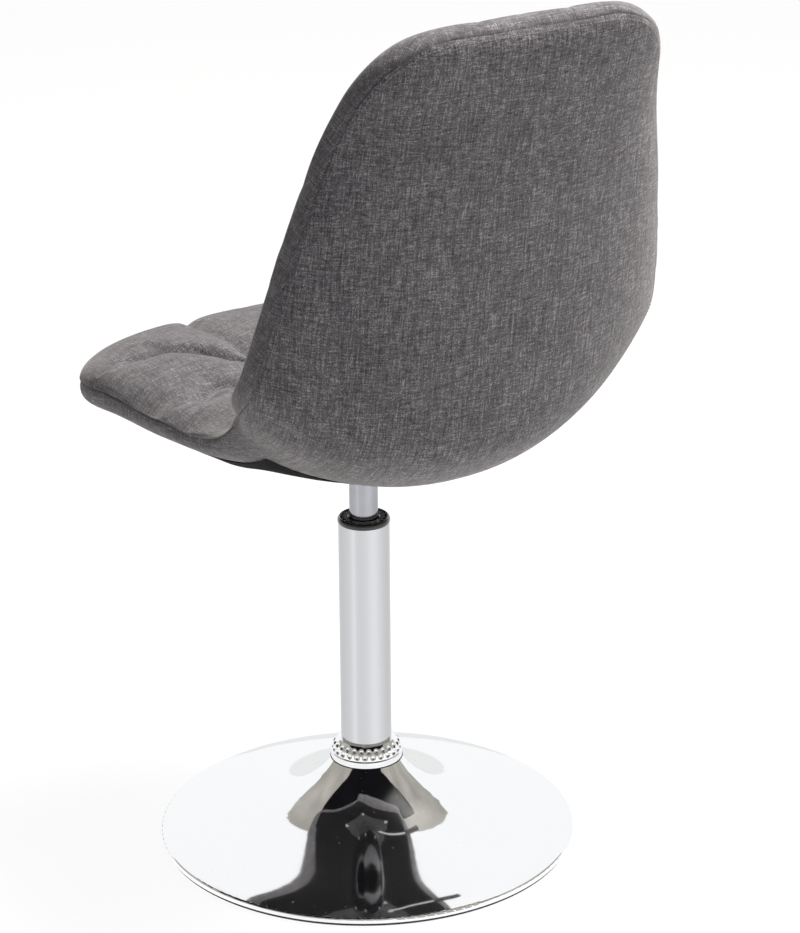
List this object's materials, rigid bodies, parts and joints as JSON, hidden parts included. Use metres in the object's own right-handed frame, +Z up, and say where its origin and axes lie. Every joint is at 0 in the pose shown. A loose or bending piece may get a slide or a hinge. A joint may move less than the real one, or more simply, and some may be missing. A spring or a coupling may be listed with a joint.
{
  "type": "swivel dining chair",
  "caption": "Upholstered bucket-seat swivel chair: quilted fabric shell with high back on a height-adjustable chrome column and round trumpet base.",
  "frame": {"origin": "centre of the floor pad's underside, on the floor and on the column axis", "axes": "+Z up, the sitter faces -Y, +X is the sitter's left"},
  "size_m": [0.4396, 0.5388, 0.8826],
  "materials": {
    "chrome": "mirror-bright chrome plating",
    "satin_steel": "ground satin steel",
    "lever_steel": "chrome-plated bar",
    "bearing_steel": "hardened and ground",
    "raw_steel": "black oxide steel",
    "black_steel": "black powder coat",
    "zinc_steel": "bright zinc plate",
    "ballast_iron": "rough cast",
    "piston_alloy": "machined",
    "pad_rubber": "matt moulded rubber",
    "bumper_rubber": "smooth rubber",
    "cap_plastic": "polished black moulding",
    "bush_plastic": "plain black moulding",
    "grip_plastic": "fine moulded grain",
    "core_wood": "bent beech plywood",
    "pad_foam": "open-cell foam",
    "seat_fabric": "linen-look melange weave",
    "back_fabric": "linen-look melange weave",
    "dust_cloth": "non-woven dust cloth"
  },
  "bodies": {
    "base": {"base_dish": "chrome", "floor_pad": "pad_rubber", "ballast_disc": "ballast_iron", "column_foot": "raw_steel", "foot_bolts": "zinc_steel", "foot_washers": "zinc_steel", "column_tube": "chrome", "column_collar": "chrome", "guide_bush": "bush_plastic", "tube_cap": "cap_plastic", "lower_race": "bearing_steel"},
    "stem": {"bearing_balls": "bearing_steel", "ball_cage": "bush_plastic", "upper_race": "bearing_steel", "piston_rod": "bearing_steel", "retaining_washer": "zinc_steel", "retaining_clip": "bearing_steel", "rod_bumper": "bumper_rubber", "piston": "piston_alloy", "piston_seal": "bumper_rubber"},
    "seat": {"rod_gland": "piston_alloy", "gas_cylinder": "satin_steel", "taper_hub": "black_steel", "box_housing": "black_steel", "pivot_pin": "zinc_steel", "mount_plate": "black_steel", "plate_bolts": "zinc_steel", "plate_washers": "zinc_steel", "tee_nuts": "zinc_steel", "plate_spacers": "bush_plastic", "shell_core": "core_wood", "foam_pad": "pad_foam", "quilted_cover": "seat_fabric", "rear_cover": "back_fabric", "dust_cover": "dust_cloth"},
    "release_pin": {"release_pin": "bearing_steel"},
    "lever": {"lever_rod": "lever_steel", "lever_grip": "grip_plastic"}
  },
  "joints": [
    {"name": "seat_swivel", "type": "hinge", "parent": "base", "child": "stem", "pos_m": [0, 0, 0.0334], "axis": [0, 0, 1], "continuous": true},
    {"name": "seat_lift", "type": "slide", "parent": "stem", "child": "seat", "axis": [0, 0, 1], "range_m": [0, 0.12]},
    {"name": "lever_lift", "type": "hinge", "parent": "seat", "child": "lever", "pos_m": [-0.03, 0, 0.402], "axis": [0, 1, 0], "range_deg": [0, 5.5], "stiffness_Nm_per_rad": 1, "springref_deg": -5.73},
    {"name": "pin_press", "type": "slide", "parent": "seat", "child": "release_pin", "axis": [0, 0, -1], "range_m": [0, 0.0033], "stiffness_N_per_m": 200, "springref_m": -0.002}
  ],
  "couplings": [
    {"joint": "pin_press", "follows": "lever_lift", "m_per_rad": 0.033}
  ]
}
